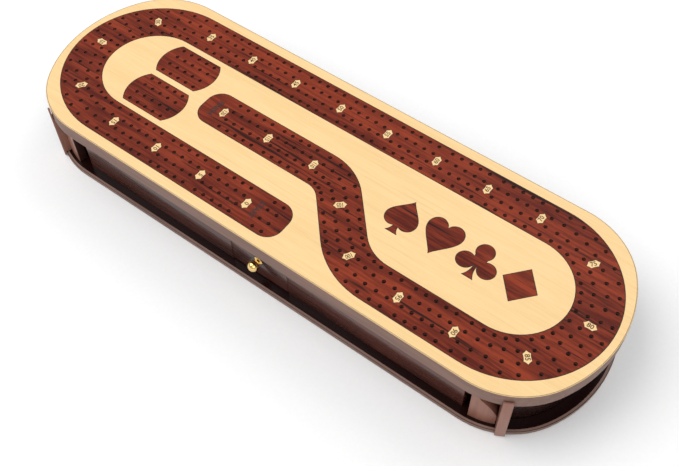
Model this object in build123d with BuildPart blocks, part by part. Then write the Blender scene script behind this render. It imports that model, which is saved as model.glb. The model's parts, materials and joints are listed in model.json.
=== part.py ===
"""Cribbage board: an inlaid racetrack playing deck on a case with three drawers.

Frame: millimetres, +Z up, +X along the board, the peg drawer opens towards -Y.
The origin is the centre of the underside of the base board.
"""

import os
from math import atan2, cos, degrees, pi, radians, sin, sqrt

from build123d import *

os.makedirs("parts", exist_ok=True)

# ---------------------------------------------------------------- driving dimensions
board_width = 130.0            # across the two straight long sides
end_radius = 80.5              # broad arc at each end
end_centre_x = 115.0           # centre of that arc
corner_radius = 49.7           # arc that joins each end to the long sides
corner_centre_y = board_width / 2 - corner_radius
corner_centre_x = end_centre_x + sqrt((end_radius - corner_radius) ** 2 - corner_centre_y**2)
corner_share = degrees(atan2(corner_centre_y, corner_centre_x - end_centre_x))

base_thickness = 3.0
case_height = 32.1             # clear height between the base and the deck
deck_thickness = 9.5
sheet_thickness = 1.2          # maple face sheet and everything inlaid in it
deck_bottom = base_thickness + case_height
sheet_bottom = deck_bottom + deck_thickness
sheet_top = sheet_bottom + sheet_thickness
edge_round = 0.5

# ---------------------------------------------------------------- track and peg holes
loop_centre_x = 132.9          # centre of each end loop of the track
loop_radius = 44.9             # centre line of the track around the loops
track_width = 26.4
spur_corner = 10.0             # rounded corners of the two loose track ends
start_end_x = 11.0             # where the starting spur stops
finish_end_x = -88.7           # where the finishing spur stops
s_angle = 48.0                 # slope of the S-bend that climbs to the middle
s_low_radius = 40.0
s_high_radius = 26.0
s_high_x = 1.8                 # the S-bend meets the middle straight here
inlay_gap = 0.2                # glue line between an inlay and its pocket

hole_radius = 1.2
hole_depth_in_deck = 7.0
lane_offsets = (-10.04, -3.57, 3.57, 10.04)
plaque_pitch = 35.08           # between number plaques on the straights
plaque_clearance = 4.72        # from a plaque to the nearest column of holes
holes_per_group = 5
start_hole_columns = (1.7, -4.8)
bottom_plaques = (-17.54, -52.62, -87.70, -122.78)
loop_plaque_angles = (-51.5, 0.0, 51.5)
climb_plaques = (64.5, 29.3)   # along the S-bend, measured from its upper end
middle_plaques = (-4.0, -38.4, -73.2)

plaque_half_length = 4.55
plaque_half_width = 2.5
plaque_waist = 2.2
plaque_ear = 2.35

# ---------------------------------------------------------------- case and drawers
wall_recess = 6.5              # long walls stand back from the deck's edge
wall_thickness = 8.0
wall_end_x = 141.0
wall_outer_y = board_width / 2 - wall_recess
wall_inner_y = wall_outer_y - wall_thickness
seam = 0.3                     # sliding clearance around a drawer front

peg_front_half = 20.8
divider_thickness = 4.3
divider_inner_x = peg_front_half + seam + 0.1
knob_ball_radius = 3.5
knob_reach = 4.8               # ball centre in front of the drawer front
knob_height = base_thickness + case_height / 2

bracket_recess = 3.7           # rounded corner brackets
bracket_depth = 5.4
bracket_angles = (5.5, 24.6)
left_bracket_first = 10.0      # the left brackets start further round the corner
rib_angles = (25.2, 31.6)      # grip ribs at the sides of each card drawer
rib_proud = 1.5
rib_edge_gap = 0.35
rib_low = 0.6
rib_high = deck_bottom + 5.4

card_front_recess = 8.0
card_front_thickness = 7.0
card_front_end_x = 160.0
card_half_width = 49.5
card_back_x = 94.5
partition_thickness = 4.0
drawer_lift = 0.6              # running clearance under and over a drawer
drawer_floor = 3.0
drawer_wall_top = 30.0
card_side = 3.5
peg_side = 3.0

screw_radius = 1.45
screw_head_radius = 2.7
screw_head_sink = 0.15
screw_length = 16.0
pilot_gap = 0.1


def save(piece, name):
    """Label one finished piece and write its STEP file."""
    piece.part.label = name
    export_step(piece.part, f"parts/{name}.step")


def outline_face(inset):
    """Face of the board's outline, moved inwards by inset (outwards when negative)."""
    half_width = board_width / 2 - inset
    end_r = end_radius - inset
    corner_r = corner_radius - inset
    sweep = 90 - corner_share
    with BuildLine() as edge:
        Line((-corner_centre_x, -half_width), (corner_centre_x, -half_width))
        CenterArc((corner_centre_x, -corner_centre_y), corner_r, -90, sweep)
        CenterArc((end_centre_x, 0), end_r, -corner_share, 2 * corner_share)
        CenterArc((corner_centre_x, corner_centre_y), corner_r, corner_share, sweep)
        Line((corner_centre_x, half_width), (-corner_centre_x, half_width))
        CenterArc((-corner_centre_x, corner_centre_y), corner_r, 90, sweep)
        CenterArc((-end_centre_x, 0), end_r, 180 - corner_share, 2 * corner_share)
        CenterArc((-corner_centre_x, -corner_centre_y), corner_r, 180 + corner_share, sweep)
    return make_face(edge.line.edges(), mode=Mode.PRIVATE)


def corner_sector(inner_inset, outer_inset, first, last):
    """Face between two insets on the +X -Y corner arc; angles are from -Y towards +X."""
    centre = (corner_centre_x, -corner_centre_y)
    outer_r = corner_radius - outer_inset
    inner_r = corner_radius - inner_inset
    with BuildLine() as edge:
        outer = CenterArc(centre, outer_r, first - 90, last - first)
        inner = CenterArc(centre, inner_r, first - 90, last - first)
        Line(outer @ 0, inner @ 0)
        Line(outer @ 1, inner @ 1)
    return make_face(edge.line.edges(), mode=Mode.PRIVATE)


# ---------------------------------------------------------------- the track's centre line
s_straight = (loop_radius - (s_low_radius + s_high_radius) * (1 - cos(radians(s_angle)))) / sin(
    radians(s_angle)
)
s_low_x = s_high_x + (s_low_radius + s_high_radius) * sin(radians(s_angle)) + s_straight * cos(
    radians(s_angle)
)
s_high_arc = s_high_radius * radians(s_angle)
s_low_arc = s_low_radius * radians(s_angle)
s_length = s_high_arc + s_straight + s_low_arc


def straight_point(x, y, heading):
    """A place on a straight: x, y and the heading of travel in degrees."""
    return x, y, heading


def loop_point(side, angle):
    """A place on an end loop; side is +1 or -1, angle is from the X axis."""
    x = side * (loop_centre_x + loop_radius * cos(radians(angle)))
    y = side * loop_radius * sin(radians(angle))
    heading = angle - 90 if side > 0 else angle + 90
    return x, y, heading


def climb_point(along):
    """A place on the S-bend, measured from its upper end down to the lower straight."""
    if along <= 0:
        return s_high_x + along, 0.0, 180.0
    if along < s_high_arc:
        turn = along / s_high_radius
        x = s_high_x + s_high_radius * sin(turn)
        y = -s_high_radius * (1 - cos(turn))
        return x, y, 180 - degrees(turn)
    x = s_high_x + s_high_radius * sin(radians(s_angle))
    y = -s_high_radius * (1 - cos(radians(s_angle)))
    if along < s_high_arc + s_straight:
        run = along - s_high_arc
        x += run * cos(radians(s_angle))
        y -= run * sin(radians(s_angle))
        return x, y, 180 - s_angle
    if along < s_length:
        turn = (s_length - along) / s_low_radius
        return s_low_x - s_low_radius * sin(turn), -loop_radius + s_low_radius * (1 - cos(turn)), (
            180 - degrees(turn)
        )
    return s_low_x + along - s_length, -loop_radius, 180.0


quarter = loop_radius * pi / 2
straight_length = 2 * loop_centre_x
left_loop_start = loop_centre_x
top_start = left_loop_start + 2 * quarter
right_loop_start = top_start + straight_length
bottom_return = right_loop_start + 2 * quarter
climb_start = bottom_return + loop_centre_x - s_low_x


def path_point(distance):
    """Place and heading at a distance along the whole track, from x = 0 on the lower left."""
    if distance < left_loop_start:
        return straight_point(-distance, -loop_radius, 180)
    if distance < top_start:
        turned = degrees((distance - left_loop_start) / loop_radius)
        return loop_point(-1, 90 - turned)
    if distance < right_loop_start:
        return straight_point(distance - top_start - loop_centre_x, loop_radius, 0)
    if distance < bottom_return:
        turned = degrees((distance - right_loop_start) / loop_radius)
        return loop_point(1, 90 - turned)
    if distance < climb_start:
        return straight_point(loop_centre_x - (distance - bottom_return), -loop_radius, 180)
    return climb_point(s_length - (distance - climb_start))


def plaque_distances():
    """Distance along the track of each of the 25 number plaques, 0 to 120."""
    loop_steps = [quarter + loop_radius * radians(angle) for angle in loop_plaque_angles]
    places = [-x for x in bottom_plaques]
    places += [left_loop_start + step for step in loop_steps]
    places += [top_start + loop_centre_x + plaque_pitch * (k - 3.5) for k in range(8)]
    places += [right_loop_start + step for step in loop_steps]
    places += [bottom_return + loop_centre_x + x for x in bottom_plaques[:1:-1]]
    places += [climb_start + s_length - along for along in climb_plaques]
    places += [climb_start + s_length + s_high_x - x for x in middle_plaques]
    return places


def across(place, offset):
    """Point at a sideways offset from a place on the track."""
    x, y, heading = place
    return x - offset * sin(radians(heading)), y + offset * cos(radians(heading))


def track_holes():
    """Centres of all the peg holes in the track."""
    columns = [straight_point(x, -loop_radius, 180) for x in start_hole_columns]
    stations = plaque_distances()
    for first, last in zip(stations, stations[1:]):
        step = (last - first - 2 * plaque_clearance) / (holes_per_group - 1)
        for k in range(holes_per_group):
            columns.append(path_point(first + plaque_clearance + k * step))
    return [across(column, offset) for column in columns for offset in lane_offsets]


# ---------------------------------------------------------------- games-won tally plates
tally_straight_left = -131.9
tally_straight_right = -100.3
tally_half_height = 13.0
tally_bulge = 5.1
tally_centre_y = 15.0
tally_columns = (-128.6, -122.2, -115.8, -109.4, -103.0)


def tally_face(centre_y, inset):
    """Barrel-shaped plate: straight above and below, bowed at the two ends."""
    low, high = centre_y - tally_half_height + inset, centre_y + tally_half_height - inset
    left, right = tally_straight_left + inset / 2, tally_straight_right - inset / 2
    bow = tally_bulge - inset / 2
    with BuildLine() as edge:
        Line((left, low), (right, low))
        ThreePointArc((right, low), (right + bow, centre_y), (right, high))
        Line((right, high), (left, high))
        ThreePointArc((left, high), (left - bow, centre_y), (left, low))
    return make_face(edge.line.edges(), mode=Mode.PRIVATE)


def tally_holes(centre_y):
    """Centres of the twenty holes of one tally plate."""
    return [(x, centre_y + offset) for x in tally_columns for offset in lane_offsets]


# ---------------------------------------------------------------- suit inlays
suit_half_size = 11.5
suit_foot_low = -12.6
club_lobe_radius = 5.65


def shrink(points, inset):
    """Outline points drawn in towards the suit's centre by about the inset."""
    return [(x * (1 - inset / suit_half_size), y * (1 - inset / suit_half_size)) for x, y in points]


def add_foot(neck, flare, spread, high, inset):
    """Flared foot under a spade or club; the three half widths are from its top down."""
    low = suit_foot_low + inset
    with BuildLine() as foot:
        top = Line((neck - inset, high), (inset - neck, high))
        ThreePointArc(top @ 1, (inset - flare, -9.6), (1.5 * inset - spread, low))
        bottom = Line((1.5 * inset - spread, low), (spread - 1.5 * inset, low))
        ThreePointArc(bottom @ 1, (flare - inset, -9.6), top @ 0)
    make_face(foot.line.edges())


def spade_face(inset):
    """Spade: pointed leaf on a flared foot."""
    side = [(0, 13.1), (7.2, 4.6), (10.3, -1.2), (8.9, -6.4), (5.6, -8.4), (2.0, -7.9)]
    with BuildSketch() as spade:
        with BuildLine():
            edge = Spline(*shrink(side, inset))
            Line(edge @ 1, (0, (edge @ 1).Y))
            mirror(about=Plane.YZ)
        make_face()
        add_foot(1.9, 2.1, 4.2, -6.0, inset)
    return spade.sketch


def heart_face(inset):
    """Heart: two round lobes running down to a point."""
    side = [(0, 8.7), (2.4, 11.9), (5.9, 12.9), (9.8, 11.0), (11.6, 6.0), (9.0, -0.8), (0, -12.4)]
    with BuildSketch() as heart:
        with BuildLine():
            Spline(*shrink(side, inset))
            mirror(about=Plane.YZ)
        make_face()
    return heart.sketch


def club_face(inset):
    """Club: three round lobes on a flared foot."""
    with BuildSketch() as club:
        with Locations((0, 6.9), (-6.7, -3.2), (6.7, -3.2)):
            Circle(club_lobe_radius - inset)
        Polygon((-4.2, 3.4), (4.2, 3.4), (3.0, -4.2), (-3.0, -4.2), align=None)
        add_foot(1.2, 2.0, 3.7, -4.0, inset)
    return club.sketch


def diamond_face(inset):
    """Diamond: four straight sides."""
    corners = [(0, 12.6), (10.9, 0), (0, -12.6), (-10.9, 0)]
    with BuildSketch() as diamond:
        Polygon(*shrink(corners, inset), align=None)
    return diamond.sketch


suits = {
    "spade_inlay": (spade_face, 59.9),
    "heart_inlay": (heart_face, 84.5),
    "club_inlay": (club_face, 109.9),
    "diamond_inlay": (diamond_face, 135.7),
}


# ---------------------------------------------------------------- track and plaque sketches
def track_face(inset):
    """The whole playing track as one face, narrowed by inset along its edges."""
    width = track_width - 2 * inset
    with BuildLine() as centre_line:
        start = Line((start_end_x - inset, -loop_radius), (-loop_centre_x, -loop_radius))
        left = CenterArc((-loop_centre_x, 0), loop_radius, 270, -180)
        top = Line(left @ 1, (loop_centre_x, loop_radius))
        right = CenterArc((loop_centre_x, 0), loop_radius, 90, -180)
        back = Line(right @ 1, (s_low_x, -loop_radius))
        low = JernArc(back @ 1, back % 1, s_low_radius, -s_angle)
        rise = Line(low @ 1, low @ 1 + s_straight * (low % 1))
        high = JernArc(rise @ 1, rise % 1, s_high_radius, s_angle)
        Line(high @ 1, (finish_end_x + inset, 0))
    with BuildSketch() as track:
        trace(centre_line.line, line_width=width)
        loose_ends = track.vertices().filter_by(
            lambda v: abs(v.X - start_end_x + inset) < 0.01 and v.Y < 0
            or abs(v.X - finish_end_x - inset) < 0.01 and abs(v.Y) < track_width
        )
        fillet(loose_ends, spur_corner - inset)
    return track.sketch


def plaque_face(inset):
    """Number plaque: straight sides with small ears and a pointed top and bottom."""
    tip, ear = plaque_half_length - inset, plaque_ear - inset / 2
    wide, waist = plaque_half_width - inset, plaque_waist - inset
    with BuildLine() as edge:
        ThreePointArc((wide, -ear), (waist, 0), (wide, ear))
        ThreePointArc((wide, ear), (wide * 0.45, ear + (tip - ear) * 0.42), (0, tip))
        mirror(about=Plane.YZ)
        ThreePointArc((wide, -ear), (wide * 0.45, -ear - (tip - ear) * 0.42), (0, -tip))
        ThreePointArc((-wide, -ear), (-wide * 0.45, -ear - (tip - ear) * 0.42), (0, -tip))
    return make_face(edge.line.edges(), mode=Mode.PRIVATE)


plaque_places = [path_point(distance) for distance in plaque_distances()]
plaque_locations = [Location((x, y, 0), (0, 0, heading)) for x, y, heading in plaque_places]
all_track_holes = track_holes()
all_tally_holes = tally_holes(tally_centre_y) + tally_holes(-tally_centre_y)

# ---------------------------------------------------------------- playing surface
suit_pockets = [(draw_suit(0), suit_x) for draw_suit, suit_x in suits.values()]
track_pocket = track_face(0)
track_shape = track_face(inlay_gap)

with BuildPart() as maple_top_sheet:
    with BuildSketch(Plane.XY.offset(sheet_bottom)):
        add(outline_face(0))
        add(track_pocket, mode=Mode.SUBTRACT)
        for side in (1, -1):
            add(tally_face(side * tally_centre_y, 0), mode=Mode.SUBTRACT)
        for suit_pocket, suit_x in suit_pockets:
            with Locations((suit_x, 0)):
                add(suit_pocket, mode=Mode.SUBTRACT)
    extrude(amount=sheet_thickness)
    rim = maple_top_sheet.faces().sort_by(Axis.Z)[-1].outer_wire().edges()
    fillet(rim, edge_round)
save(maple_top_sheet, "maple_top_sheet")

with BuildPart() as track_inlay:
    with BuildSketch(Plane.XY.offset(sheet_bottom)):
        add(track_shape)
        with Locations(*plaque_locations):
            add(plaque_face(0), mode=Mode.SUBTRACT)
        with Locations(*all_track_holes):
            Circle(hole_radius, mode=Mode.SUBTRACT)
    extrude(amount=sheet_thickness)
save(track_inlay, "track_inlay")

with BuildPart() as number_plaques:
    with BuildSketch(Plane.XY.offset(sheet_bottom)):
        with Locations(*plaque_locations):
            add(plaque_face(inlay_gap / 2))
    extrude(amount=sheet_thickness)
save(number_plaques, "number_plaques")

for name, side in (("games_won_plate_upper", 1), ("games_won_plate_lower", -1)):
    with BuildPart() as tally_plate:
        with BuildSketch(Plane.XY.offset(sheet_bottom)):
            add(tally_face(side * tally_centre_y, inlay_gap))
            with Locations(*tally_holes(side * tally_centre_y)):
                Circle(hole_radius, mode=Mode.SUBTRACT)
        extrude(amount=sheet_thickness)
    save(tally_plate, name)

for name, (draw_suit, suit_x) in suits.items():
    inset_suit = draw_suit(inlay_gap)
    with BuildPart() as suit_inlay:
        with BuildSketch(Plane.XY.offset(sheet_bottom)):
            with Locations((suit_x, 0)):
                add(inset_suit)
        extrude(amount=sheet_thickness)
    save(suit_inlay, name)

with BuildPart() as deck_board:
    with BuildSketch(Plane.XY.offset(deck_bottom)):
        add(outline_face(0))
    extrude(amount=deck_thickness - hole_depth_in_deck)
    fillet(deck_board.faces().sort_by(Axis.Z)[0].outer_wire().edges(), edge_round)
    with BuildSketch(Plane.XY.offset(sheet_bottom - hole_depth_in_deck)):
        add(outline_face(0))
        with Locations(*all_track_holes, *all_tally_holes):
            Circle(hole_radius, mode=Mode.SUBTRACT)
    extrude(amount=hole_depth_in_deck)
save(deck_board, "deck_board")

# ---------------------------------------------------------------- case
bracket_middle = (bracket_angles[0] + bracket_angles[1]) / 2
bracket_mid_radius = corner_radius - bracket_recess - bracket_depth / 2
bracket_screw = (
    corner_centre_x + bracket_mid_radius * sin(radians(bracket_middle)),
    corner_centre_y + bracket_mid_radius * cos(radians(bracket_middle)),
)
wall_screw_y = wall_outer_y - wall_thickness / 2
wall_screw_xs = (-120.0, -45.0, 45.0, 120.0)
wall_screws = [(x, side * wall_screw_y) for x in wall_screw_xs for side in (-1, 1)]
bracket_screws = [(i * bracket_screw[0], j * bracket_screw[1]) for i in (-1, 1) for j in (-1, 1)]
screw_depth_in_wall = screw_length - base_thickness + 1.0

with BuildPart() as base_board:
    with BuildSketch():
        add(outline_face(0))
    extrude(amount=base_thickness)
    fillet(base_board.faces().sort_by(Axis.Z)[-1].outer_wire().edges(), edge_round)
    fillet(base_board.faces().sort_by(Axis.Z)[0].outer_wire().edges(), edge_round)
    with Locations(Plane.XY.rotated((180, 0, 0))):
        with Locations(*wall_screws, *bracket_screws):
            CounterSinkHole(
                screw_radius + pilot_gap,
                screw_head_radius + screw_head_sink + pilot_gap,
                base_thickness,
                counter_sink_angle=90,
            )
save(base_board, "base_board")

with BuildPart() as base_screws:
    with BuildSketch(Plane.XZ) as screw_profile:
        with BuildLine():
            Polyline(
                (0, screw_head_sink),
                (screw_head_radius, screw_head_sink),
                (screw_radius, screw_head_sink + screw_head_radius - screw_radius),
                (screw_radius, screw_length - 2),
                (0, screw_length),
                close=True,
            )
        make_face()
    one_screw = revolve(axis=Axis.Z, mode=Mode.PRIVATE)
    with Locations(*wall_screws, *bracket_screws):
        add(one_screw)
save(base_screws, "base_screws")


def case_wall(first_x, last_x, side):
    """A long wall between two stations, with the pilot holes that fall in it."""
    with BuildPart() as wall:
        with BuildSketch(Plane.XY.offset(base_thickness)):
            with Locations(((first_x + last_x) / 2, side * wall_screw_y)):
                Rectangle(last_x - first_x, wall_thickness)
        extrude(amount=case_height)
        with BuildSketch(Plane.XY.offset(base_thickness)):
            inside = [p for p in wall_screws if first_x < p[0] < last_x and p[1] * side > 0]
            with Locations(*inside):
                Circle(screw_radius + pilot_gap)
        extrude(amount=screw_depth_in_wall, mode=Mode.SUBTRACT)
    return wall


save(case_wall(-wall_end_x, -peg_front_half - seam, -1), "front_wall_left")
save(case_wall(peg_front_half + seam, wall_end_x, -1), "front_wall_right")
save(case_wall(-wall_end_x, wall_end_x, 1), "back_wall")


def corner_bracket(mirror_x, mirror_y):
    """Curved bracket whose free corner is swept down in an ogee for the fingers."""
    first = left_bracket_first if mirror_x else bracket_angles[0]
    neck = -2.0 if mirror_x else -5.0
    tangent_plane = Plane(
        origin=(corner_centre_x, -corner_centre_y, 0),
        x_dir=(cos(radians(bracket_middle)), sin(radians(bracket_middle)), 0),
        z_dir=(sin(radians(bracket_middle)), -cos(radians(bracket_middle)), 0),
    )
    with BuildPart() as bracket:
        with BuildSketch(Plane.XY.offset(base_thickness)):
            inner = bracket_recess + bracket_depth
            add(corner_sector(inner, bracket_recess, first, bracket_angles[1]))
        extrude(amount=case_height)
        with BuildSketch(tangent_plane):
            with BuildLine():
                shoulder = Line((-12, base_thickness), (-12, deck_bottom))
                top = Line(shoulder @ 1, (neck, deck_bottom))
                hollow = ThreePointArc(top @ 1, (neck + 0.8, 30.0), (neck + 2.8, 26.0))
                bow = ThreePointArc(hollow @ 1, ((neck + 15.0) / 2, 18.0), (8.3, 10.3))
                toe = Line(bow @ 1, (7.9, base_thickness))
                Line(toe @ 1, shoulder @ 0)
            make_face()
        extrude(amount=corner_radius, mode=Mode.INTERSECT)
        with BuildSketch(Plane.XY.offset(base_thickness)):
            with Locations((bracket_screw[0], -bracket_screw[1])):
                Circle(screw_radius + pilot_gap)
        extrude(amount=screw_depth_in_wall, mode=Mode.SUBTRACT)
        if mirror_x:
            mirror(about=Plane.YZ, mode=Mode.REPLACE)
        if mirror_y:
            mirror(about=Plane.XZ, mode=Mode.REPLACE)
    return bracket


for end, mirror_x in (("left", True), ("right", False)):
    for face, mirror_y in (("front", False), ("back", True)):
        save(corner_bracket(mirror_x, mirror_y), f"corner_bracket_{end}_{face}")


def cross_board(low_x, thickness):
    """Upright board across the case from wall to wall."""
    with BuildPart() as board:
        with BuildSketch(Plane.XY.offset(base_thickness)):
            with Locations((low_x + thickness / 2, 0)):
                Rectangle(thickness, 2 * wall_inner_y)
        extrude(amount=case_height)
    return board


partition_low_x = card_back_x - seam - partition_thickness
save(cross_board(divider_inner_x, divider_thickness), "peg_bay_divider_right")
save(cross_board(-divider_inner_x - divider_thickness, divider_thickness), "peg_bay_divider_left")
save(cross_board(partition_low_x, partition_thickness), "card_bay_partition_right")
save(cross_board(-partition_low_x - partition_thickness, partition_thickness),
     "card_bay_partition_left")

# ---------------------------------------------------------------- drawers
drawer_bottom = base_thickness + drawer_lift
drawer_front_height = case_height - 2 * drawer_lift


def board(low, high, name):
    """Plain rectangular board between two opposite corners."""
    size = [b - a for a, b in zip(low, high)]
    with BuildPart() as piece:
        with BuildSketch(Plane.XY.offset(low[2])):
            with Locations((low[0] + size[0] / 2, low[1] + size[1] / 2)):
                Rectangle(size[0], size[1])
        extrude(amount=size[2])
    save(piece, name)


peg_outer_x = peg_front_half - 0.2
peg_inner_x = peg_outer_x - peg_side
peg_back_y = wall_inner_y - seam
floor_top = drawer_bottom + drawer_floor

board((peg_inner_x, -wall_inner_y, drawer_bottom),
      (peg_outer_x, peg_back_y, drawer_wall_top), "peg_drawer_side_right")
board((-peg_outer_x, -wall_inner_y, drawer_bottom),
      (-peg_inner_x, peg_back_y, drawer_wall_top), "peg_drawer_side_left")
board((-peg_inner_x, peg_back_y - peg_side, drawer_bottom),
      (peg_inner_x, peg_back_y, drawer_wall_top), "peg_drawer_back")
board((-peg_inner_x, -wall_inner_y, drawer_bottom),
      (peg_inner_x, peg_back_y - peg_side, floor_top), "peg_drawer_bottom")

knob_plane = Plane(origin=(0, -wall_outer_y, knob_height), x_dir=(1, 0, 0), z_dir=(0, -1, 0))
knob_screw_radius = 1.5

with BuildPart() as peg_drawer_front:
    with BuildSketch(Plane.XY.offset(drawer_bottom)):
        with Locations((0, -wall_screw_y)):
            Rectangle(2 * peg_front_half, wall_thickness)
    extrude(amount=drawer_front_height)
    with BuildSketch(knob_plane):
        Circle(knob_screw_radius + pilot_gap)
    extrude(amount=-wall_thickness, mode=Mode.SUBTRACT)
save(peg_drawer_front, "peg_drawer_front")

knob_axis = Axis(knob_plane.origin, knob_plane.z_dir)
knob_side = Plane(origin=knob_plane.origin, x_dir=(1, 0, 0), z_dir=(0, 0, 1))

with BuildPart() as peg_drawer_knob:
    with BuildSketch(knob_side):
        with BuildLine():
            foot = Polyline((0, 0), (3.0, 0), (3.0, -0.7), (2.4, -1.1), (1.6, -1.6))
            ball_low = -knob_reach + sqrt(knob_ball_radius**2 - 1.6**2)
            neck = Line(foot @ 1, (1.6, ball_low))
            ball = ThreePointArc(neck @ 1, (knob_ball_radius, -knob_reach),
                                 (0, -knob_reach - knob_ball_radius))
            Line(ball @ 1, foot @ 0)
        make_face()
    revolve(axis=knob_axis)
    with BuildSketch(knob_plane):
        Circle(knob_screw_radius + 0.05)
    extrude(amount=5.0, mode=Mode.SUBTRACT)
save(peg_drawer_knob, "peg_drawer_knob")

with BuildPart() as peg_drawer_knob_screw:
    with BuildSketch(knob_plane.offset(-wall_thickness)):
        Circle(knob_screw_radius)
    extrude(amount=wall_thickness + 4.5)
    with BuildSketch(knob_plane.offset(-wall_thickness)):
        Circle(2 * knob_screw_radius)
    extrude(amount=-1.8)
save(peg_drawer_knob_screw, "peg_drawer_knob_screw")


def card_drawer(end, flip):
    """One card drawer at the +X end, or at the -X end when flip is true."""

    def finish(piece, name):
        if flip:
            with piece:
                mirror(about=Plane.YZ, mode=Mode.REPLACE)
        save(piece, f"card_drawer_{end}_{name}")

    def slab(low, high, name):
        with BuildPart() as piece:
            with BuildSketch(Plane.XY.offset(low[2])):
                centre = ((low[0] + high[0]) / 2, (low[1] + high[1]) / 2)
                with Locations(centre):
                    Rectangle(high[0] - low[0], high[1] - low[1])
            extrude(amount=high[2] - low[2])
        finish(piece, name)

    inner_y = card_half_width - card_side
    slab((card_back_x, -card_half_width, drawer_bottom),
         (card_front_end_x, -inner_y, drawer_wall_top), "side_front")
    slab((card_back_x, inner_y, drawer_bottom),
         (card_front_end_x, card_half_width, drawer_wall_top), "side_back")
    slab((card_back_x, -inner_y, drawer_bottom),
         (card_back_x + card_side, inner_y, drawer_wall_top), "back")

    front_inner = card_front_recess + card_front_thickness
    with BuildPart() as bottom:
        with BuildSketch(Plane.XY.offset(drawer_bottom)):
            add(outline_face(front_inner))
            with Locations((card_back_x + card_side + 50, 0)):
                Rectangle(100, 2 * inner_y, mode=Mode.INTERSECT)
        extrude(amount=drawer_floor)
    finish(bottom, "bottom")

    with BuildPart() as front:
        with BuildSketch(Plane.XY.offset(drawer_bottom)):
            add(outline_face(card_front_recess))
            add(outline_face(front_inner), mode=Mode.SUBTRACT)
            with Locations((card_front_end_x + 25, 0)):
                Rectangle(50, board_width, mode=Mode.INTERSECT)
        extrude(amount=drawer_front_height)
    finish(front, "front")

    for name, mirror_y in (("grip_rib_front", False), ("grip_rib_back", True)):
        with BuildPart() as rib:
            with BuildSketch(Plane.XY.offset(drawer_bottom)):
                add(corner_sector(card_front_recess, -rib_edge_gap, *rib_angles))
            extrude(amount=drawer_front_height)
            with BuildSketch(Plane.XY.offset(rib_low)):
                add(corner_sector(-rib_edge_gap, -rib_proud, *rib_angles))
            extrude(amount=rib_high - rib_low)
            if mirror_y:
                mirror(about=Plane.XZ, mode=Mode.REPLACE)
        finish(rib, name)


card_drawer("right", False)
card_drawer("left", True)
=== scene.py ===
"""Cribbage board: finishes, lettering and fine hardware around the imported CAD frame.

Lengths are in metres. The board lies along X with its track inlaid in the top face, and the peg
drawer opens towards -Y.
"""

from __future__ import annotations

import json
import logging
import math
from dataclasses import dataclass, field, replace
from enum import Enum
from typing import Iterable, Sequence, Union

import bmesh
import bpy
from mathutils import Matrix, Vector


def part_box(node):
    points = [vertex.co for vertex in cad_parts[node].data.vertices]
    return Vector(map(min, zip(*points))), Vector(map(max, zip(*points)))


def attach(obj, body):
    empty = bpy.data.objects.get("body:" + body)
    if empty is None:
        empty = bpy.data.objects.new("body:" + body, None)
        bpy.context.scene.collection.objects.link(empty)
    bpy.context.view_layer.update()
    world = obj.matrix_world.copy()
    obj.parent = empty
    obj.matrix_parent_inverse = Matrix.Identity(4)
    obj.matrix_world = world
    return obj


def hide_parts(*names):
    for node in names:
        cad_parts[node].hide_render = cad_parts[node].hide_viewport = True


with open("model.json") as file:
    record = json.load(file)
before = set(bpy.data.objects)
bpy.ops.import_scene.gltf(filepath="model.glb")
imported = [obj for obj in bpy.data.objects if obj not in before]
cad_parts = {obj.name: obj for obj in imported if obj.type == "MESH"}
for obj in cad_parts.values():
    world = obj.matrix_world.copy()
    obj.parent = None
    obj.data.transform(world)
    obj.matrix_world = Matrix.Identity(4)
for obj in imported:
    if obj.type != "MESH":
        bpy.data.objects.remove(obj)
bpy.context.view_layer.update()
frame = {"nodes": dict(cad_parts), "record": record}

log = logging.getLogger("cribbage_board")
MM = 0.001
WELD = 1e-6
FINE_WELD = 1e-7
QUARTER_TURN = math.pi / 2
Colour = tuple[float, float, float, float]
Number = Union[float, "Value"]


# ------------------------------------------------------------------ shading helpers
class Value:
    """One shader socket whose arithmetic adds Math nodes."""

    def __init__(self, shade: "Shade", socket: bpy.types.NodeSocket) -> None:
        """Keeps the socket and the material that it belongs to."""
        self.shade = shade
        self.socket = socket

    def _maths(self, operation: str, *terms: Number) -> "Value":
        """Adds one Math node and returns its result."""
        return self.shade.node("ShaderNodeMath", {"operation": operation}, dict(enumerate(terms)))

    def __add__(self, other: Number) -> "Value":
        """Sum."""
        return self._maths("ADD", self, other)

    def __sub__(self, other: Number) -> "Value":
        """Difference."""
        return self._maths("SUBTRACT", self, other)

    def __rsub__(self, other: Number) -> "Value":
        """Difference from a number."""
        return self._maths("SUBTRACT", other, self)

    def __mul__(self, other: Number) -> "Value":
        """Product."""
        return self._maths("MULTIPLY", self, other)

    __radd__ = __add__
    __rmul__ = __mul__

    def size(self) -> "Value":
        """Absolute value."""
        return self._maths("ABSOLUTE", self)

    def sign(self) -> "Value":
        """1 when positive and -1 when negative."""
        return self._maths("SIGN", self)

    def between(self, low: float, high: float) -> "Value":
        """Smooth step from 0 at low to 1 at high.

        Args:
            low: Value at which the step starts.
            high: Value at which the step ends.

        Returns:
            The stepped value, between 0 and 1.
        """
        settings = {"interpolation_type": "SMOOTHSTEP"}
        return self.shade.node("ShaderNodeMapRange", settings, {0: self, 1: low, 2: high})


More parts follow.
